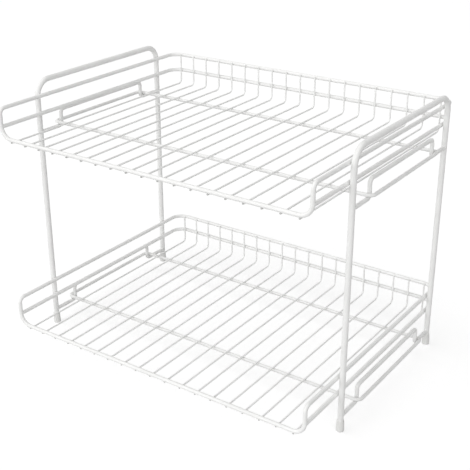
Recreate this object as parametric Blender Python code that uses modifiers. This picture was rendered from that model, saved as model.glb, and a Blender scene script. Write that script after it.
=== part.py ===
"""Two-tier wire storage rack: two side frames carry two lift-off baskets.

Metres, +Z up, +X to the right, -Y to the front. The origin is on the ground under the
middle of the rack.
"""

import math

import bpy
from mathutils import Vector

# Wire diameters
HOOP_WIRE = 0.0063
BRACKET_WIRE = 0.0045
RAIL_WIRE = 0.0045
LOOP_WIRE = 0.004
FLOOR_WIRE = 0.002

# Clearances
WELD_GAP = 0.0003
BASKET_SIDE_CLEARANCE = 0.0009
LOOP_SIDE_CLEARANCE = 0.0015
LOOP_SEAT_CLEARANCE = 0.0005
FOOT_BORE_CLEARANCE = 0.0003

# Side frames
HOOP_HEIGHT = 0.3073
LEG_SPREAD = 0.210
HOOP_BEND_RADIUS = 0.018
BRACKET_UPRIGHT_SPREAD = 0.142
BRACKET_RISE = 0.0192
FOOT_TO_BRACKET = 0.0021
UPPER_FLOOR_DROP = 0.054

# Foot caps
FOOT_HEIGHT = 0.013
FOOT_BASE_WALL = 0.0008
FOOT_BASE_HEIGHT = 0.0055
FOOT_TOP_WALL = 0.0005
FOOT_SOLE = 0.003
FOOT_EDGE = 0.0009

# Baskets
BASKET_WIDTH = 0.3902
FLOOR_WIRE_COUNT = 19
FLOOR_WIRE_BEND_RADIUS = 0.0055
FLOOR_WIRE_TOP_RISE = 0.0015
SIDE_MARGIN = 0.01285
RIM_HEIGHT = 0.036
MID_RAIL_HEIGHT = 0.016
FRONT_OVERHANG = 0.062
REAR_OVERHANG = 0.031
FRONT_TOP_RADIUS = 0.0065
FRONT_CORNER_RADIUS = 0.0135
REAR_CORNER_RADIUS = 0.0148

# Facets
BEND_STEP = math.radians(15)
HOOP_SIDES_RESOLUTION = 4
RAIL_SIDES_RESOLUTION = 3
WIRE_SIDES_RESOLUTION = 2
FOOT_STEPS = 24
SCREW_MERGE = 0.00001

# Finishes
COAT_COLOUR = (0.86, 0.86, 0.85, 1.0)
COAT_ROUGHNESS = 0.38
FOOT_COLOUR = (0.83, 0.83, 0.82, 1.0)
FOOT_ROUGHNESS = 0.55

# Baskets across the rack
SIDE_RAIL_X = (BASKET_WIDTH - RAIL_WIRE) / 2
HALF_FLOOR_SPAN = SIDE_RAIL_X - SIDE_MARGIN
FLOOR_WIRE_PITCH = 2 * HALF_FLOOR_SPAN / (FLOOR_WIRE_COUNT - 1)
FRAME_X = SIDE_RAIL_X + RAIL_WIRE / 2 + BASKET_SIDE_CLEARANCE + HOOP_WIRE / 2
LOOP_X = FRAME_X + BRACKET_WIRE / 2 + LOOP_SIDE_CLEARANCE + LOOP_WIRE / 2

# Front to rear
DEPTH = FRONT_OVERHANG + LEG_SPREAD + REAR_OVERHANG + RAIL_WIRE
FRONT_BAR_Y = (RAIL_WIRE - DEPTH) / 2
FRONT_LEG_Y = FRONT_BAR_Y + FRONT_OVERHANG
REAR_LEG_Y = FRONT_LEG_Y + LEG_SPREAD
REAR_RAIL_Y = REAR_LEG_Y + REAR_OVERHANG
REAR_WIRE_Y = REAR_RAIL_Y - RAIL_WIRE / 2 - WELD_GAP - FLOOR_WIRE / 2
FRAME_MID_Y = (FRONT_LEG_Y + REAR_LEG_Y) / 2
LOOP_HALF_Y = BRACKET_UPRIGHT_SPREAD / 2 + BRACKET_WIRE / 2 + LOOP_SEAT_CLEARANCE + LOOP_WIRE / 2

# Heights above the floor wires' centre
FRONT_BAR_Z = FLOOR_WIRE / 2 + WELD_GAP + RAIL_WIRE / 2
LOOP_Z = -(FLOOR_WIRE / 2 + WELD_GAP + LOOP_WIRE / 2)
BRACKET_LOW_Z = LOOP_Z - LOOP_WIRE / 2 - WELD_GAP - BRACKET_WIRE / 2

# Bends that follow what lies beside them
LOOP_CORNER_RADIUS = LOOP_X - FRAME_X
BRACKET_BEND_RADIUS = BRACKET_WIRE / 2 + LOOP_SEAT_CLEARANCE + LOOP_WIRE / 2

# The lower basket clears the foot caps, and the upper one hangs below the hoops' tops
LOWER_FLOOR_Z = FOOT_HEIGHT + FOOT_TO_BRACKET + BRACKET_WIRE / 2 - BRACKET_LOW_Z
UPPER_FLOOR_Z = HOOP_HEIGHT - UPPER_FLOOR_DROP

SIDES = {"left": -FRAME_X, "right": FRAME_X}
TIERS = {"lower": LOWER_FLOOR_Z, "upper": UPPER_FLOOR_Z}
LEGS = {"front": FRONT_LEG_Y, "rear": REAR_LEG_Y}


def clear_scene():
    for obj in list(bpy.data.objects):
        bpy.data.objects.remove(obj)


def new_collection(name):
    collection = bpy.data.collections.new(name)
    bpy.context.scene.collection.children.link(collection)
    return collection


def finish(name, colour, roughness):
    material = bpy.data.materials.new(name)
    material.use_nodes = True
    shader = material.node_tree.nodes["Principled BSDF"]
    shader.inputs["Base Color"].default_value = colour
    shader.inputs["Roughness"].default_value = roughness
    shader.inputs["Metallic"].default_value = 0.0
    return material


def powder_coat(name):
    return finish(name, COAT_COLOUR, COAT_ROUGHNESS)


def foot_plastic(name):
    return finish(name, FOOT_COLOUR, FOOT_ROUGHNESS)


def bend(before, corner, after, radius):
    """The points of a round bend that joins the run before to corner with the run corner to after."""
    into = (corner - before).normalized()
    out = (after - corner).normalized()
    angle = into.angle(out)
    setback = radius * math.tan(angle / 2)
    start = corner - into * setback
    inward = (out - into * into.dot(out)).normalized()
    steps = max(2, round(angle / BEND_STEP))
    points = []
    for step in range(steps + 1):
        turned = angle * step / steps
        along = into * radius * math.sin(turned)
        across = inward * radius * (1 - math.cos(turned))
        points.append(start + along + across)
    return points


def wire_path(corners, cyclic=False):
    """Points along a bent wire. Each corner is a place and the radius of its bend, 0 at an end."""
    places = [Vector(place) for place, _ in corners]
    points = []
    for index, (_, radius) in enumerate(corners):
        is_end = not cyclic and index in (0, len(corners) - 1)
        if is_end:
            points.append(places[index])
            continue
        before = places[index - 1]
        after = places[(index + 1) % len(places)]
        points.extend(bend(before, places[index], after, radius))
    return points


def wire(name, corners, diameter, sides_resolution, cyclic=False):
    curve = bpy.data.curves.new(name, "CURVE")
    curve.dimensions = "3D"
    curve.bevel_depth = diameter / 2
    curve.bevel_resolution = sides_resolution
    curve.use_fill_caps = True
    points = wire_path(corners, cyclic)
    spline = curve.splines.new("POLY")
    spline.points.add(len(points) - 1)
    for point, place in zip(spline.points, points):
        point.co = (*place, 1.0)
    spline.use_cyclic_u = cyclic
    spline.use_smooth = True
    return curve


def place(name, data, collection, location, parent=None):
    obj = bpy.data.objects.new(name, data)
    obj.location = location
    obj.parent = parent
    collection.objects.link(obj)
    return obj


def hoop_wire():
    """An inverted U: front leg, top bar and rear leg, in the plane X = 0."""
    foot_z = FOOT_SOLE + WELD_GAP
    top_z = HOOP_HEIGHT - HOOP_WIRE / 2
    corners = [
        ((0, FRONT_LEG_Y, foot_z), 0),
        ((0, FRONT_LEG_Y, top_z), HOOP_BEND_RADIUS),
        ((0, REAR_LEG_Y, top_z), HOOP_BEND_RADIUS),
        ((0, REAR_LEG_Y, foot_z), 0),
    ]
    return wire("hoop", corners, HOOP_WIRE, HOOP_SIDES_RESOLUTION)


def bracket_wire():
    """The wire between the legs that a basket hooks over, at heights above the floor wires' centre."""
    leg_face = LEG_SPREAD / 2 - HOOP_WIRE / 2 - WELD_GAP
    upright = BRACKET_UPRIGHT_SPREAD / 2
    top_z = BRACKET_LOW_Z + BRACKET_RISE
    half = [
        ((0, -leg_face, BRACKET_LOW_Z), 0),
        ((0, -upright, BRACKET_LOW_Z), BRACKET_BEND_RADIUS),
        ((0, -upright, top_z), BRACKET_BEND_RADIUS),
    ]
    other_half = [((x, -y, z), radius) for (x, y, z), radius in reversed(half)]
    return wire("bracket", half + other_half, BRACKET_WIRE, RAIL_SIDES_RESOLUTION)


def rim_wire():
    """One closed loop: rear rail, side rails, front uprights and the front bar over the floor wires."""
    upright = RIM_HEIGHT - FRONT_BAR_Z
    corner_radius = min(FRONT_CORNER_RADIUS, upright - FRONT_TOP_RADIUS)
    half = [
        ((SIDE_RAIL_X, REAR_RAIL_Y, RIM_HEIGHT), REAR_CORNER_RADIUS),
        ((SIDE_RAIL_X, FRONT_BAR_Y, RIM_HEIGHT), FRONT_TOP_RADIUS),
        ((SIDE_RAIL_X, FRONT_BAR_Y, FRONT_BAR_Z), corner_radius),
    ]
    other_half = [((-x, y, z), radius) for (x, y, z), radius in reversed(half)]
    return wire("rim", half + other_half, RAIL_WIRE, RAIL_SIDES_RESOLUTION, cyclic=True)


def mid_rail_wire():
    """A U round the sides and the rear, whose ends meet the rim's front uprights."""
    end_y = FRONT_BAR_Y + RAIL_WIRE / 2 + WELD_GAP
    half = [
        ((SIDE_RAIL_X, end_y, MID_RAIL_HEIGHT), 0),
        ((SIDE_RAIL_X, REAR_RAIL_Y, MID_RAIL_HEIGHT), REAR_CORNER_RADIUS),
    ]
    other_half = [((-x, y, z), radius) for (x, y, z), radius in reversed(half)]
    return wire("mid_rail", half + other_half, RAIL_WIRE, RAIL_SIDES_RESOLUTION)


def support_loop_wire():
    """A rounded rectangle under the floor wires that reaches out over both brackets."""
    corners = [
        ((LOOP_X, FRAME_MID_Y - LOOP_HALF_Y, LOOP_Z), LOOP_CORNER_RADIUS),
        ((LOOP_X, FRAME_MID_Y + LOOP_HALF_Y, LOOP_Z), LOOP_CORNER_RADIUS),
        ((-LOOP_X, FRAME_MID_Y + LOOP_HALF_Y, LOOP_Z), LOOP_CORNER_RADIUS),
        ((-LOOP_X, FRAME_MID_Y - LOOP_HALF_Y, LOOP_Z), LOOP_CORNER_RADIUS),
    ]
    return wire("support_loop", corners, LOOP_WIRE, WIRE_SIDES_RESOLUTION, cyclic=True)


def rear_wire_y(wire_x):
    """Where a floor wire stands up: WELD_GAP off the rear rails, which bend forward near the corners."""
    into_bend = max(abs(wire_x) - (SIDE_RAIL_X - REAR_CORNER_RADIUS), 0)
    reach = REAR_CORNER_RADIUS - (REAR_RAIL_Y - REAR_WIRE_Y)
    return REAR_WIRE_Y - reach + math.sqrt(reach**2 - into_bend**2)


def floor_wire(wire_x):
    """Starts under the middle of the front bar, runs to the rear and up the inside of the rear rails."""
    rear_y = rear_wire_y(wire_x)
    corners = [
        ((0, FRONT_BAR_Y, 0), 0),
        ((0, rear_y, 0), FLOOR_WIRE_BEND_RADIUS),
        ((0, rear_y, RIM_HEIGHT + FLOOR_WIRE_TOP_RISE), 0),
    ]
    return wire("floor_wire", corners, FLOOR_WIRE, WIRE_SIDES_RESOLUTION)


def foot_profile():
    """Half section of a foot cap, from the bore's floor out, down the outer side and back to the axis."""
    bore = HOOP_WIRE / 2 + FOOT_BORE_CLEARANCE
    base = bore + FOOT_BASE_WALL
    return [
        (0, FOOT_SOLE),
        (bore, FOOT_SOLE),
        (bore, FOOT_HEIGHT),
        (bore + FOOT_TOP_WALL, FOOT_HEIGHT),
        (base, FOOT_BASE_HEIGHT),
        (base, FOOT_EDGE),
        (base - FOOT_EDGE, 0),
        (0, 0),
    ]


def foot_cap_mesh():
    mesh = bpy.data.meshes.new("foot_cap")
    profile = foot_profile()
    vertices = [(radius, 0, height) for radius, height in profile]
    edges = [(index, index + 1) for index in range(len(profile) - 1)]
    mesh.from_pydata(vertices, edges, [])
    return mesh


def turn(obj):
    screw = obj.modifiers.new("Turned", "SCREW")
    screw.steps = FOOT_STEPS
    screw.render_steps = FOOT_STEPS
    screw.use_merge_vertices = True
    screw.merge_threshold = SCREW_MERGE
    screw.use_smooth_shade = True


def make_side_frames(collection):
    hoop = hoop_wire()
    hoop.materials.append(powder_coat("hoop_coat"))
    bracket = bracket_wire()
    bracket.materials.append(powder_coat("bracket_coat"))
    foot = foot_cap_mesh()
    foot.materials.append(foot_plastic("foot_plastic"))
    for side, frame_x in SIDES.items():
        frame = place(f"{side}_side_frame", None, collection, (frame_x, 0, 0))
        place(f"{side}_hoop", hoop, collection, (0, 0, 0), frame)
        for tier, floor_z in TIERS.items():
            seat = (0, FRAME_MID_Y, floor_z)
            place(f"{side}_{tier}_bracket", bracket, collection, seat, frame)
        for end, leg_y in LEGS.items():
            cap = place(f"{side}_{end}_foot_cap", foot, collection, (0, leg_y, 0), frame)
            turn(cap)


def make_baskets(collection):
    fixed = {
        "rim_wire": (rim_wire(), "rim_coat"),
        "mid_rail": (mid_rail_wire(), "mid_rail_coat"),
        "support_loop": (support_loop_wire(), "support_loop_coat"),
    }
    for curve, coat in fixed.values():
        curve.materials.append(powder_coat(coat))
    wire_xs = [index * FLOOR_WIRE_PITCH - HALF_FLOOR_SPAN for index in range(FLOOR_WIRE_COUNT)]
    floor_wires = [floor_wire(wire_x) for wire_x in wire_xs]
    floor_coat = powder_coat("floor_wire_coat")
    for curve in floor_wires:
        curve.materials.append(floor_coat)
    for tier, floor_z in TIERS.items():
        basket = place(f"{tier}_basket", None, collection, (0, 0, floor_z))
        for piece, (curve, _) in fixed.items():
            place(f"{tier}_{piece}", curve, collection, (0, 0, 0), basket)
        for number, (wire_x, curve) in enumerate(zip(wire_xs, floor_wires), start=1):
            name = f"{tier}_floor_wire_{number:02d}"
            place(name, curve, collection, (wire_x, 0, 0), basket)


def main():
    clear_scene()
    rack = new_collection("two_tier_rack")
    make_side_frames(rack)
    make_baskets(rack)


main()
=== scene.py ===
"""Looks of the two-tier wire rack: smooth coated wires, weld fillets, moulded foot caps and studio light.

Metres, +Z up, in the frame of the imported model.
"""

import math

import bpy
import numpy as np
from mathutils import Matrix, Vector


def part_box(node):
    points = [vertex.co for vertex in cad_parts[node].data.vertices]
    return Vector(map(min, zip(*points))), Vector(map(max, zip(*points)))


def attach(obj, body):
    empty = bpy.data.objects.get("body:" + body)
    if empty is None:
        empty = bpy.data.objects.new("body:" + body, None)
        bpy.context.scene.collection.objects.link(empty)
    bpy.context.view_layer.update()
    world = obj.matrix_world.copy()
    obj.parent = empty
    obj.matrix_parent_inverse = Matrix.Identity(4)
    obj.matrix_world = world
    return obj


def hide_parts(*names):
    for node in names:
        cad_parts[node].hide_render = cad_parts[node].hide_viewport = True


# Wire radii
HOOP_R = 0.00315
BRACKET_R = 0.00225
RAIL_R = 0.00225
LOOP_R = 0.002
FLOOR_R = 0.001

# Bend radii on the wires' centre lines
HOOP_BEND = 0.018
BRACKET_BEND = 0.00475
FRONT_TOP_BEND = 0.0065
FRONT_CORNER_BEND = 0.0135
REAR_CORNER_BEND = 0.0148
LOOP_BEND = 0.00575
FLOOR_BEND = 0.0055

# Gaps that the welds and the push fits close
WELD_GAP = 0.0003
CAP_GAP = 0.00002

# Room between a bracket's upright and the support loop beside it
LOOP_SEAT = 0.0005

# Weld fillets
WELD_BLEND = 0.0008
WELD_SINK = 0.00003
WELD_DEPTH = 0.0003
CROSS_WELD_REACH = 0.0014

# Foot caps
CAP_RIM_WALL = 0.0007
CAP_RIM_ROUND = 0.0003
CAP_BASE_HEIGHT = 0.0055
CAP_EDGE_ROUND = 0.0009
CAP_SOLE = 0.003

# Mesh steps
QUARTER_TURN = math.pi / 2
BEND_STEP = math.radians(6)
STEEP_SHARE = 0.9
HOOP_SIDES = 32
RAIL_SIDES = 24
FLOOR_SIDES = 16
END_ROUND_SHARE = 0.35
END_STEPS = 4
CAP_SIDES = 64
ROUND_STEPS = 5

# Sampling of the weld fillets
WELD_TURNS = 24
WELD_ROWS = 10
WELD_FINE_ROWS = 80
WELD_LOOKS = 40
WELD_HALVINGS = 16
WELD_LOOK_SHARE = 1.35

# Camera
CAMERA_PLACE = (0.5651, -0.8091, 0.5816)
CAMERA_TURN = (math.radians(65.662), 0.0, math.radians(34.596))
CAMERA_LENS = 72.44
CAMERA_SENSOR = 36.0
CAMERA_NEAR = 0.01
CAMERA_FAR = 50.0

# Finishes
FULL = 1.0
WHITE = (FULL, FULL, FULL, FULL)
NOISE_MIDDLE = (0.35, 0.65)
CLOUD_SCALE = 35.0
CLOUD_DETAIL = 3.0
SHEEN_SCALE = 120.0
SHEEN_DETAIL = 2.0
ROUGHNESS_DRIFT = 0.04
PEEL_DETAIL = 2.0
GRAIN_DETAIL = 1.0
COAT_SPECULAR = 0.3
COAT_LOOK = {
    "dark": (0.84, 0.84, 0.83, 1.0),
    "light": (0.88, 0.88, 0.872, 1.0),
    "roughness": 0.47,
    "peel_scale": 900.0,
    "peel_depth": 0.00004,
    "grain_scale": 4000.0,
    "grain_depth": 0.000006,
}
CAP_LOOK = {
    "dark": (0.76, 0.76, 0.745, 1.0),
    "light": (0.82, 0.82, 0.805, 1.0),
    "roughness": 0.55,
    "peel_scale": 500.0,
    "peel_depth": 0.00001,
    "grain_scale": 6000.0,
    "grain_depth": 0.000008,
}

# A darker grey tone over the cut front ends of the floor wires
END_DARK_TONE = (0.6, 0.6, 0.59, 1.0)
END_DARK_FROM = 0.0003
END_DARK_TO = 0.0011

# Floor, light tent and lamps
FLOOR_SIZE = 12.0
FLOOR_DROP = -0.0002
FLOOR_COLOUR = (0.5, 0.5, 0.5, 1.0)
FLOOR_ROUGHNESS = 0.9
FLOOR_GLOW = 0.12
FLOOR_LIFT = 0.61
TENT_GLOW = 1.28
TENT_DIM = 0.25
GLOW_AIM = (-0.1, -1.0, 0.0)
GLOW_BLEND = 0.25
LAMP_AIM = (0.0, 0.0, 0.16)
FILL_PLACE = (-1.1, -5.2, 0.55)
FILL_SIZE = 2.6
FILL_POWER = 34.0
TOP_PLACE = (-0.7, 0.0, 2.4)
TOP_SIZE = 1.2
TOP_POWER = 4.5

# Names
SIDES = ("left", "right")
TIERS = ("lower", "upper")
ENDS = ("front", "rear")
FRAMES_BODY = "side_frames"

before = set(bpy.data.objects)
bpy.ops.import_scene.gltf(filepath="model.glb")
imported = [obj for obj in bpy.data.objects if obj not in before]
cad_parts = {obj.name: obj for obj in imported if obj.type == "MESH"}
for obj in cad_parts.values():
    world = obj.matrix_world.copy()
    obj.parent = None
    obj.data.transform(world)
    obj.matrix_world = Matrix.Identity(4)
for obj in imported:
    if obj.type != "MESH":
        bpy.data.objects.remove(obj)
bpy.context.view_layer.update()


# Meshes


def bend(before, corner, after, radius):
    """The points of a round bend at corner, from the run that comes from before to the run to after."""
    into = (corner - before).normalized()
    out = (after - corner).normalized()
    angle = into.angle(out)
    start = corner - into * radius * math.tan(angle / 2)
    inward = (out - into * into.dot(out)).normalized()
    steps = round(angle / BEND_STEP)
    points = []
    for step in range(steps + 1):
        turned = angle * step / steps
        along = into * radius * math.sin(turned)
        points.append(start + along + inward * radius * (1 - math.cos(turned)))
    return points


def wire_path(corners, closed):
    """Points along a bent wire. Each corner is a place and the radius of its bend, 0 at an end."""
    places = [Vector(place) for place, _ in corners]
    points = []
    for index, (_, radius) in enumerate(corners):
        if not closed and index in (0, len(corners) - 1):
            points.append(places[index])
            continue
        after = places[(index + 1) % len(places)]
        points.extend(bend(places[index - 1], places[index], after, radius))
    return points


def ring_frames(points, closed):
    """The centre and the side, up and along vectors at each point, carried along the path without twist."""
    count = len(points)
    frames = []
    side = None
    for index, point in enumerate(points):
        before = points[index - 1] if closed or index else point
        after = points[(index + 1) % count] if closed or index < count - 1 else point
        along = ((after - point).normalized() + (point - before).normalized()).normalized()
        if side is None:
            helper = Vector((0, 0, 1)) if abs(along.z) < STEEP_SHARE else Vector((1, 0, 0))
            side = along.cross(helper).normalized()
        side = (side - along * side.dot(along)).normalized()
        frames.append((point, side, along.cross(side), along))
    return frames


def ring(centre, side, up, radius, sides):
    """Points of a circle round the centre."""
    points = []
    for index in range(sides):
        angle = 2 * math.pi * index / sides
        points.append(centre + side * radius * math.cos(angle) + up * radius * math.sin(angle))
    return points


def rounded_end(frame_at, radius, sides, outward):
    """Rings that close a cut wire end, whose edge the coat rounds. The first is the widest."""
    centre, side, up, along = frame_at
    fillet = radius * END_ROUND_SHARE
    rings = []
    for step in range(END_STEPS + 1):
        angle = QUARTER_TURN * step / END_STEPS
        shrink = fillet * (1 - math.cos(angle))
        back = fillet * (1 - math.sin(angle))
        place = centre - along * outward * back
        rings.append(ring(place, side, up, radius - shrink, sides))
    return rings


def closing_twist(frames, sides):
    """How many sides the first ring is turned against the last, where a closed path meets itself."""
    _, side, up, _ = frames[0]
    last = frames[-1][1]
    angle = math.atan2(last.dot(up), last.dot(side))
    return round(angle / (2 * math.pi) * sides) % sides


def smooth_mesh(name, vertices, faces):
    mesh = bpy.data.meshes.new(name)
    mesh.from_pydata(vertices, [], faces)
    mesh.shade_smooth()
    return mesh


def capped_faces(rows, sides):
    """Faces of a closed shape whose points are a first pole, rows of points round it and a last pole."""
    faces = []
    last = 1 + rows * sides
    for turn in range(sides):
        after = (turn + 1) % sides
        faces.append((0, 1 + turn, 1 + after))
        for row in range(rows - 1):
            a = 1 + row * sides + turn
            b = 1 + row * sides + after
            faces.append((a, a + sides, b + sides, b))
        faces.append((last - sides + turn, last, last - sides + after))
    return faces


def tube_mesh(name, points, radius, sides, closed):
    """A round wire along the points. An open one has rounded ends."""
    frames = ring_frames(points, closed)
    if closed:
        rings = [ring(centre, side, up, radius, sides) for centre, side, up, _ in frames]
    else:
        first = rounded_end(frames[0], radius, sides, -1)
        last = rounded_end(frames[-1], radius, sides, 1)
        inner = [ring(centre, side, up, radius, sides) for centre, side, up, _ in frames[1:-1]]
        rings = first[::-1] + inner + last
    vertices = [tuple(point) for one in rings for point in one]
    count = len(rings)
    spans = count if closed else count - 1
    faces = []
    twist = closing_twist(frames, sides) if closed else 0
    for index in range(spans):
        after = (index + 1) % count
        shift = twist if after == 0 else 0
        for turn in range(sides):
            beside = (turn + 1) % sides
            a = index * sides + turn
            b = index * sides + beside
            c = after * sides + (beside + shift) % sides
            d = after * sides + (turn + shift) % sides
            faces.append((a, d, c, b))
    if not closed:
        faces.append(tuple(range(sides)))
        faces.append(tuple(range((count - 1) * sides, count * sides))[::-1])
    return smooth_mesh(name, vertices, faces)


def add_object(name, data, place):
    """A new object of the scene, at its place."""
    added = bpy.data.objects.new(name, data)
    added.location = place
    bpy.context.scene.collection.objects.link(added)
    return added


def add_piece(name, mesh, material, body, place=(0, 0, 0)):
    """A piece of the rack that moves with its body and takes its finish from its slot."""
    piece = add_object(name, mesh, place)
    piece.data.materials.append(material)
    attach(piece, body)
    return piece


def add_wire(node, corners, radius, sides, body, closed=False, coat=None):
    """A smooth coated wire that stands for the CAD node."""
    mesh = tube_mesh(node, wire_path(corners, closed), radius, sides, closed)
    piece = add_piece(f"{node}_coated", mesh, coat or COAT, body)
    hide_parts(node)


# Weld fillets


def to_line(points, origin, direction, radius):
    """Distance from each point to an endless wire's surface."""
    offset = points - np.array(origin)
    along = offset @ np.array(direction)
    across = offset - np.outer(along, direction)
    return np.linalg.norm(across, axis=1) - radius


def to_stub(points, origin, direction, radius, rounding=0.0):
    """Distance from each point to a wire that starts at origin, with a rounded edge, and runs on."""
    offset = points - np.array(origin)
    along = offset @ np.array(direction)
    across = np.linalg.norm(offset - np.outer(along, direction), axis=1) - radius + rounding
    behind = rounding - along
    outside = np.hypot(np.maximum(across, 0), np.maximum(behind, 0))
    return outside + np.minimum(np.maximum(across, behind), 0) - rounding


def smooth_union(first, second, blend):
    """Distance to two wires whose meeting is filled over the width of the blend."""
    share = np.clip((1 + (second - first) / blend) / 2, 0, 1)
    return second * (1 - share) + first * share - blend * share * (1 - share)


def weld_shape(distance, upper, lower, poles):
    """Points of a closed fillet round the origin, between an upper and a lower wire.

    upper and lower are rings of points inside the wires, and poles are the two points that close them. Each
    point between the rings lies where the line from the origin first leaves the blended wires. Of many such
    points at a turn, rows are picked from the first that leaves them to the last.
    """
    shares = np.linspace(0, 1, WELD_FINE_ROWS)[1:-1]
    between = np.concatenate([upper + (lower - upper) * share for share in shares])
    inside = np.zeros(len(between))
    outside = np.full(len(between), WELD_LOOK_SHARE)
    found = np.zeros(len(between), bool)
    for share in np.linspace(0, WELD_LOOK_SHARE, WELD_LOOKS + 1)[1:]:
        out = distance(between * share) > -WELD_SINK
        outside = np.where(out & ~found, share, outside)
        inside = np.where(out | found, inside, share)
        found |= out
    for _ in range(WELD_HALVINGS):
        half = (inside + outside) / 2
        out = distance(between * half[:, None]) > -WELD_SINK
        outside = np.where(out, half, outside)
        inside = np.where(out, inside, half)
    surface = (between * np.where(found, outside, 1)[:, None]).reshape(len(shares), WELD_TURNS, -1)
    found = found.reshape(len(shares), WELD_TURNS)
    first = found.argmax(axis=0)
    last = len(shares) - 1 - found[::-1].argmax(axis=0)
    picked = np.rint(np.linspace(first, last, WELD_ROWS - 2)).astype(int)
    rows = surface[picked, np.arange(WELD_TURNS)].reshape(-1, len(poles[0]))
    return np.concatenate([poles[:1], upper, rows, lower, poles[1:]])


def weld_turns():
    """Cosine and sine of each turn round a fillet."""
    angles = np.arange(WELD_TURNS) * (2 * math.pi / WELD_TURNS)
    return np.cos(angles), np.sin(angles)


def under_skin(around, radius):
    """Places inside a wire at distances round it: how far sideways, and how far in from its nearest line."""
    inner = radius - WELD_DEPTH
    return inner * np.sin(around / radius), radius - inner * np.cos(around / radius)


def cross_weld(lower_radius, upper_radius, cut_end=False):
    """Fillet of two crossed wires: the lower one along Y, the upper one along X, the origin in their gap.

    With cut_end the lower wire starts at the origin and runs to the rear.
    """
    half_gap = WELD_GAP / 2

    def distance(points):
        centre = (0, 0, -half_gap - lower_radius)
        if cut_end:
            lower_wire = to_stub(points, centre, (0, 1, 0), lower_radius, lower_radius * END_ROUND_SHARE)
        else:
            lower_wire = to_line(points, centre, (0, 1, 0), lower_radius)
        upper_wire = to_line(points, (0, 0, half_gap + upper_radius), (1, 0, 0), upper_radius)
        return smooth_union(lower_wire, upper_wire, WELD_BLEND)

    across, along = (part * CROSS_WELD_REACH for part in weld_turns())
    upper_y, upper_in = under_skin(along, upper_radius)
    lower_x, lower_in = under_skin(across, lower_radius)
    lower_y = np.maximum(along, WELD_DEPTH) if cut_end else along
    upper = np.column_stack([across, upper_y, half_gap + upper_in])
    lower = np.column_stack([lower_x, lower_y, -half_gap - lower_in])
    lower_pole = (0, WELD_DEPTH if cut_end else 0, -half_gap - lower_radius)
    return weld_shape(distance, upper, lower, [(0, 0, half_gap + upper_radius), lower_pole])


def butt_weld(post_radius, wire_radius):
    """Fillet of a wire along +Z that ends in a post along Y, the origin just over the post."""
    post_z = -WELD_GAP / 2 - post_radius

    def distance(points):
        post = to_line(points, (0, 0, post_z), (0, 1, 0), post_radius)
        wire = to_stub(points, (0, 0, post_z), (0, 0, 1), wire_radius)
        return smooth_union(post, wire, WELD_BLEND)

    across, along = weld_turns()
    seam = np.arcsin(across * wire_radius / post_radius) * post_radius
    lower_x, lower_in = under_skin(seam + across * WELD_BLEND, post_radius)
    lower = np.column_stack([lower_x, along * (wire_radius + WELD_BLEND), post_z + post_radius - lower_in])
    inner = wire_radius - WELD_DEPTH
    seam_z = post_z + np.sqrt(post_radius**2 - (across * wire_radius) ** 2)
    upper = np.column_stack([across * inner, along * inner, seam_z + WELD_BLEND])
    return weld_shape(distance, upper, lower, [(0, 0, WELD_BLEND), (0, 0, post_z)])


def placed_at(place, angle=0.0, axis="X"):
    """The matrix that turns a shape about an axis and carries it to its place."""
    return Matrix.Translation(place) @ Matrix.Rotation(angle, 4, axis)


def add_welds(name, placed, body):
    """All weld fillets of one body, as one piece. Each one is a shape and the matrix that places it."""
    faces_of_one = capped_faces(WELD_ROWS, WELD_TURNS)
    vertices = []
    faces = []
    for shape, matrix in placed:
        start = len(vertices)
        vertices.extend(tuple(matrix @ Vector(point)) for point in shape)
        faces.extend(tuple(start + index for index in face) for face in faces_of_one)
    add_piece(name, smooth_mesh(name, vertices, faces), COAT, body)


# Finishes


def new_material(name):
    """A new material, its node tree and its shader."""
    material = bpy.data.materials.new(name)
    material.use_nodes = True
    tree = material.node_tree
    return material, tree, tree.nodes["Principled BSDF"]


def mapped(tree, value, source, target, smooth=False):
    """The value carried from the source range to the target range."""
    remap = tree.nodes.new("ShaderNodeMapRange")
    remap.interpolation_type = "SMOOTHSTEP" if smooth else "LINEAR"
    for kind, (low, high) in (("From", source), ("To", target)):
        remap.inputs[f"{kind} Min"].default_value = low
        remap.inputs[f"{kind} Max"].default_value = high
    tree.links.new(value, remap.inputs["Value"])
    return remap.outputs["Result"]


def noise(tree, coordinates, scale, detail):
    texture = tree.nodes.new("ShaderNodeTexNoise")
    texture.inputs["Scale"].default_value = scale
    texture.inputs["Detail"].default_value = detail
    tree.links.new(coordinates, texture.inputs["Vector"])
    return texture.outputs["Fac"]


def spread(tree, value, low, high):
    """A noise value carried from its usual middle range to the range from low to high."""
    return mapped(tree, value, NOISE_MIDDLE, (low, high))


def bumped(tree, place, scale, detail, depth, under=None):
    """A bump of the given depth in metres, laid over the normal under it."""
    bump = tree.nodes.new("ShaderNodeBump")
    bump.inputs["Strength"].default_value = FULL
    bump.inputs["Distance"].default_value = depth
    tree.links.new(noise(tree, place, scale, detail), bump.inputs["Height"])
    if under is not None:
        tree.links.new(under, bump.inputs["Normal"])
    return bump.outputs["Normal"]


def darker_at_end(tree, place, tone, end_y):
    """The tone, darkened towards grey over the cut end of a wire that starts at end_y and runs to the rear.
    """
    parts = tree.nodes.new("ShaderNodeSeparateXYZ")
    tree.links.new(place, parts.inputs["Vector"])
    span = (end_y + END_DARK_FROM, end_y + END_DARK_TO)
    mask = mapped(tree, parts.outputs["Y"], span, (FULL, 0.0), smooth=True)
    darkened = tree.nodes.new("ShaderNodeMixRGB")
    darkened.inputs["Color2"].default_value = END_DARK_TONE
    tree.links.new(mask, darkened.inputs["Fac"])
    tree.links.new(tone, darkened.inputs["Color1"])
    return darkened.outputs["Color"]


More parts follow.
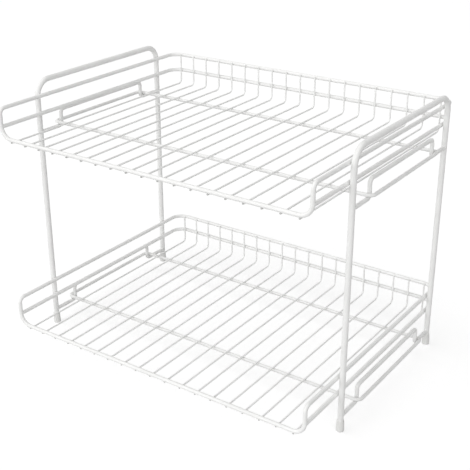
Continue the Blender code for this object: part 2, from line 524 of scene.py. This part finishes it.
def coat_material(name, look, end_y=None):
    """A pale finish whose tone and gloss drift a little, with a soft peel and a fine grain over it."""
    material, tree, shader = new_material(name)
    place = tree.nodes.new("ShaderNodeTexCoord").outputs["Object"]

    tone = tree.nodes.new("ShaderNodeMixRGB")
    tone.inputs["Color1"].default_value = look["dark"]
    tone.inputs["Color2"].default_value = look["light"]
    cloud = spread(tree, noise(tree, place, CLOUD_SCALE, CLOUD_DETAIL), 0.0, FULL)
    tree.links.new(cloud, tone.inputs["Fac"])
    colour = tone.outputs["Color"]
    # The cut front ends of the floor wires are tinted darker grey.
    if end_y is not None:
        colour = darker_at_end(tree, place, colour, end_y)
    tree.links.new(colour, shader.inputs["Base Color"])

    dull = look["roughness"] + ROUGHNESS_DRIFT
    bright = look["roughness"] - ROUGHNESS_DRIFT
    sheen = spread(tree, noise(tree, place, SHEEN_SCALE, SHEEN_DETAIL), bright, dull)
    tree.links.new(sheen, shader.inputs["Roughness"])

    peel = bumped(tree, place, look["peel_scale"], PEEL_DETAIL, look["peel_depth"])
    grain = bumped(tree, place, look["grain_scale"], GRAIN_DETAIL, look["grain_depth"], peel)
    tree.links.new(grain, shader.inputs["Normal"])

    shader.inputs["Specular IOR Level"].default_value = COAT_SPECULAR
    return material


COAT = coat_material("powder_coat_satin", COAT_LOOK)
FLOOR_COAT = coat_material("powder_coat_floor_wires", COAT_LOOK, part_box("lower_floor_wire_01")[0].y)
CAP_PLASTIC = coat_material("moulded_cap_plastic", CAP_LOOK)


# Side frames


def make_hoop(side):
    """An inverted U: two legs and the top bar between them."""
    node = f"{side}_hoop"
    low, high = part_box(node)
    x = (low.x + high.x) / 2
    front = low.y + HOOP_R
    rear = high.y - HOOP_R
    top = high.z - HOOP_R
    corners = [
        ((x, front, low.z), 0),
        ((x, front, top), HOOP_BEND),
        ((x, rear, top), HOOP_BEND),
        ((x, rear, low.z), 0),
    ]
    add_wire(node, corners, HOOP_R, HOOP_SIDES, FRAMES_BODY)


def make_bracket(side, tier):
    """A rail with a raised middle between two uprights. Its ends run into the hoop's legs."""
    node = f"{side}_{tier}_bracket"
    low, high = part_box(node)
    x = (low.x + high.x) / 2
    low_z = low.z + BRACKET_R
    top_z = high.z - BRACKET_R
    mid_y = (low.y + high.y) / 2
    to_upright = (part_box(f"{tier}_support_loop")[1].y - mid_y) - 2 * LOOP_R - BRACKET_R - LOOP_SEAT
    into_leg = WELD_GAP + HOOP_R
    corners = [
        ((x, low.y - into_leg, low_z), 0),
        ((x, mid_y - to_upright, low_z), BRACKET_BEND),
        ((x, mid_y - to_upright, top_z), BRACKET_BEND),
        ((x, mid_y + to_upright, top_z), BRACKET_BEND),
        ((x, mid_y + to_upright, low_z), BRACKET_BEND),
        ((x, high.y + into_leg, low_z), 0),
    ]
    add_wire(node, corners, BRACKET_R, RAIL_SIDES, FRAMES_BODY)


def bracket_welds(side, tier):
    """The two butt welds of a bracket, one on each leg."""
    low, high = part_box(f"{side}_{tier}_bracket")
    x = (low.x + high.x) / 2
    z = low.z + BRACKET_R
    shape = butt_weld(HOOP_R, BRACKET_R)
    front = placed_at((x, low.y - WELD_GAP / 2, z), -QUARTER_TURN)
    rear = placed_at((x, high.y + WELD_GAP / 2, z), QUARTER_TURN)
    return [(shape, front), (shape, rear)]


def arc(centre, radius, start, end):
    """Profile points of a rounding, as radius and height, from angle start to angle end."""
    points = []
    for step in range(ROUND_STEPS + 1):
        angle = start + (end - start) * step / ROUND_STEPS
        points.append((centre[0] + radius * math.cos(angle), centre[1] + radius * math.sin(angle)))
    return points


def cap_profile(height, base_radius):
    """Half section of a foot cap, from the bore's floor up, over the rim and down to the sole."""
    bore = HOOP_R + CAP_GAP
    rim = bore + CAP_RIM_WALL
    profile = [(0.0, CAP_SOLE), (bore, CAP_SOLE), (bore, height - CAP_RIM_ROUND)]
    profile += arc((bore + CAP_RIM_ROUND, height - CAP_RIM_ROUND), CAP_RIM_ROUND, math.pi, QUARTER_TURN)
    profile += arc((rim - CAP_RIM_ROUND, height - CAP_RIM_ROUND), CAP_RIM_ROUND, QUARTER_TURN, 0.0)
    profile.append((base_radius, CAP_BASE_HEIGHT))
    profile += arc((base_radius - CAP_EDGE_ROUND, CAP_EDGE_ROUND), CAP_EDGE_ROUND, 0.0, -QUARTER_TURN)
    profile.append((0.0, 0.0))
    return profile


def turned_mesh(name, profile, sides):
    """A profile that starts and ends on the axis, turned round it."""
    inner = profile[1:-1]
    vertices = [(0.0, 0.0, profile[0][1])]
    for radius, height in inner:
        for index in range(sides):
            angle = 2 * math.pi * index / sides
            vertices.append((radius * math.cos(angle), radius * math.sin(angle), height))
    vertices.append((0.0, 0.0, profile[-1][1]))
    return smooth_mesh(name, vertices, capped_faces(len(inner), sides))


def make_foot_cap(side, end):
    """A moulded cup that a leg's end is pushed into."""
    node = f"{side}_{end}_foot_cap"
    low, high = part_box(node)
    profile = cap_profile(high.z, (high.x - low.x) / 2)
    mesh = turned_mesh(node, profile, CAP_SIDES)
    place = ((low.x + high.x) / 2, (low.y + high.y) / 2, 0.0)
    piece = add_piece(f"{node}_moulded", mesh, CAP_PLASTIC, FRAMES_BODY, place)
    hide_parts(node)


def make_side_frames():
    welds = []
    for side in SIDES:
        make_hoop(side)
        for tier in TIERS:
            make_bracket(side, tier)
            welds += bracket_welds(side, tier)
        for end in ENDS:
            make_foot_cap(side, end)
    add_welds("side_frame_welds", welds, FRAMES_BODY)


# Baskets


def make_rim(tier, body):
    """A closed wire: the top rails at the rear and sides, the front uprights and the front bar."""
    node = f"{tier}_rim_wire"
    low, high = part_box(node)
    x = high.x - RAIL_R
    front = low.y + RAIL_R
    rear = high.y - RAIL_R
    bottom = low.z + RAIL_R
    top = high.z - RAIL_R
    half = [
        ((x, rear, top), REAR_CORNER_BEND),
        ((x, front, top), FRONT_TOP_BEND),
        ((x, front, bottom), FRONT_CORNER_BEND),
    ]
    other_half = [((-px, py, pz), radius) for (px, py, pz), radius in reversed(half)]
    add_wire(node, half + other_half, RAIL_R, RAIL_SIDES, body, closed=True)


def make_mid_rail(tier, body):
    """A rail round the rear and sides. Its ends run into the rim's front uprights."""
    node = f"{tier}_mid_rail"
    low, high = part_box(node)
    x = high.x - RAIL_R
    rear = high.y - RAIL_R
    z = (low.z + high.z) / 2
    front = low.y - WELD_GAP - RAIL_R
    corners = [
        ((x, front, z), 0),
        ((x, rear, z), REAR_CORNER_BEND),
        ((-x, rear, z), REAR_CORNER_BEND),
        ((-x, front, z), 0),
    ]
    add_wire(node, corners, RAIL_R, RAIL_SIDES, body)


def make_support_loop(tier, body):
    """A closed wire under the floor wires, whose ends reach out over the brackets."""
    node = f"{tier}_support_loop"
    low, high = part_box(node)
    x = high.x - LOOP_R
    front = low.y + LOOP_R
    rear = high.y - LOOP_R
    z = (low.z + high.z) / 2
    places = [(x, front, z), (x, rear, z), (-x, rear, z), (-x, front, z)]
    corners = [(place, LOOP_BEND) for place in places]
    add_wire(node, corners, LOOP_R, RAIL_SIDES, body, closed=True)


def floor_wire_nodes(tier):
    return sorted(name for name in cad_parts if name.startswith(f"{tier}_floor_wire_"))


def make_floor_wire(node, body):
    """A wire from the front bar to the rear, where it is bent up to the top rail."""
    low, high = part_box(node)
    x = (low.x + high.x) / 2
    rear = high.y - FLOOR_R
    z = low.z + FLOOR_R
    corners = [((x, low.y, z), 0), ((x, rear, z), FLOOR_BEND), ((x, rear, high.z), 0)]
    add_wire(node, corners, FLOOR_R, FLOOR_SIDES, body, coat=FLOOR_COAT)


def basket_welds(tier):
    """Fillets under the front bar, over the support loop and on both rear rails."""
    rim_low, rim_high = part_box(f"{tier}_rim_wire")
    rail_low, rail_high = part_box(f"{tier}_mid_rail")
    loop_low, loop_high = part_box(f"{tier}_support_loop")
    on_rail = cross_weld(FLOOR_R, RAIL_R)
    on_bar = cross_weld(FLOOR_R, RAIL_R, cut_end=True)
    on_loop = cross_weld(FLOOR_R, LOOP_R)
    half_gap = WELD_GAP / 2
    placed = []
    for node in floor_wire_nodes(tier):
        low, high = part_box(node)
        x = (low.x + high.x) / 2
        wire_top = low.z + 2 * FLOOR_R
        bar = placed_at((x, rim_low.y + RAIL_R, wire_top + half_gap))
        placed.append((on_bar, bar))
        for y in (loop_low.y + LOOP_R, loop_high.y - LOOP_R):
            under = placed_at((x, y, low.z - half_gap), math.pi, "Y")
            placed.append((on_loop, under))
        for z in (rim_high.z - RAIL_R, (rail_low.z + rail_high.z) / 2):
            behind = placed_at((x, high.y + half_gap, z), -QUARTER_TURN)
            placed.append((on_rail, behind))
    return placed


def make_basket(tier):
    body = f"{tier}_basket"
    make_rim(tier, body)
    make_mid_rail(tier, body)
    make_support_loop(tier, body)
    for node in floor_wire_nodes(tier):
        make_floor_wire(node, body)
    add_welds(f"{tier}_basket_welds", basket_welds(tier), body)


# Studio


def make_camera():
    data = bpy.data.cameras.new("camera")
    data.lens = CAMERA_LENS
    data.sensor_width = CAMERA_SENSOR
    data.clip_start = CAMERA_NEAR
    data.clip_end = CAMERA_FAR
    camera = add_object("camera", data, CAMERA_PLACE)
    camera.rotation_euler = CAMERA_TURN
    bpy.context.scene.camera = camera


def seen_directly(tree):
    """1 for camera, glossy and transmission rays, 0 for the rays that light things."""
    path = tree.nodes.new("ShaderNodeLightPath")
    seen = path.outputs["Is Camera Ray"]
    for kind in ("Is Glossy Ray", "Is Transmission Ray"):
        either = tree.nodes.new("ShaderNodeMath")
        either.operation = "MAXIMUM"
        tree.links.new(seen, either.inputs[0])
        tree.links.new(path.outputs[kind], either.inputs[1])
        seen = either.outputs[0]
    return seen


def make_floor():
    """A pale matt floor that looks white from the camera and keeps the rack's shadow."""
    mesh = bpy.data.meshes.new("floor")
    size = FLOOR_SIZE
    corners = [(-size, -size, 0.0), (size, -size, 0.0), (size, size, 0.0), (-size, size, 0.0)]
    mesh.from_pydata(corners, [], [(0, 1, 2, 3)])
    floor = add_object("floor", mesh, (0.0, 0.0, FLOOR_DROP))
    material, tree, shader = new_material("floor_white")
    shader.inputs["Base Color"].default_value = FLOOR_COLOUR
    shader.inputs["Roughness"].default_value = FLOOR_ROUGHNESS
    shader.inputs["Specular IOR Level"].default_value = 0.0
    shader.inputs["Emission Color"].default_value = WHITE
    lift = mapped(tree, seen_directly(tree), (0.0, FULL), (FLOOR_GLOW, FLOOR_LIFT))
    tree.links.new(lift, shader.inputs["Emission Strength"])
    mesh.materials.append(material)


def make_world():
    """A light tent that glows on the camera's side and is dim behind; it looks white from the camera."""
    world = bpy.data.worlds.new("studio")
    bpy.context.scene.world = world
    world.use_nodes = True
    tree = world.node_tree
    background = tree.nodes["Background"]
    background.inputs["Color"].default_value = WHITE
    aim = tree.nodes.new("ShaderNodeVectorMath")
    aim.operation = "DOT_PRODUCT"
    aim.inputs[1].default_value = Vector(GLOW_AIM).normalized()
    tree.links.new(tree.nodes.new("ShaderNodeTexCoord").outputs["Generated"], aim.inputs[0])
    glow = mapped(tree, aim.outputs["Value"], (-GLOW_BLEND, GLOW_BLEND), (TENT_DIM, TENT_GLOW), smooth=True)
    strength = tree.nodes.new("ShaderNodeMix")
    strength.inputs["B"].default_value = FULL
    tree.links.new(seen_directly(tree), strength.inputs["Factor"])
    tree.links.new(glow, strength.inputs["A"])
    tree.links.new(strength.outputs["Result"], background.inputs["Strength"])


def make_softbox(name, place, aim, size, power):
    """A round lamp that shines from place to aim."""
    data = bpy.data.lights.new(name, "AREA")
    data.shape = "DISK"
    data.size = size
    data.energy = power
    light = add_object(name, data, place)
    light.rotation_euler = (Vector(aim) - Vector(place)).to_track_quat("-Z", "Y").to_euler()


def make_studio():
    make_camera()
    make_floor()
    make_world()
    make_softbox("fill", FILL_PLACE, LAMP_AIM, FILL_SIZE, FILL_POWER)
    make_softbox("top", TOP_PLACE, LAMP_AIM, TOP_SIZE, TOP_POWER)
    bpy.context.scene.view_settings.view_transform = "Standard"


make_side_frames()
for tier in TIERS:
    make_basket(tier)
make_studio()
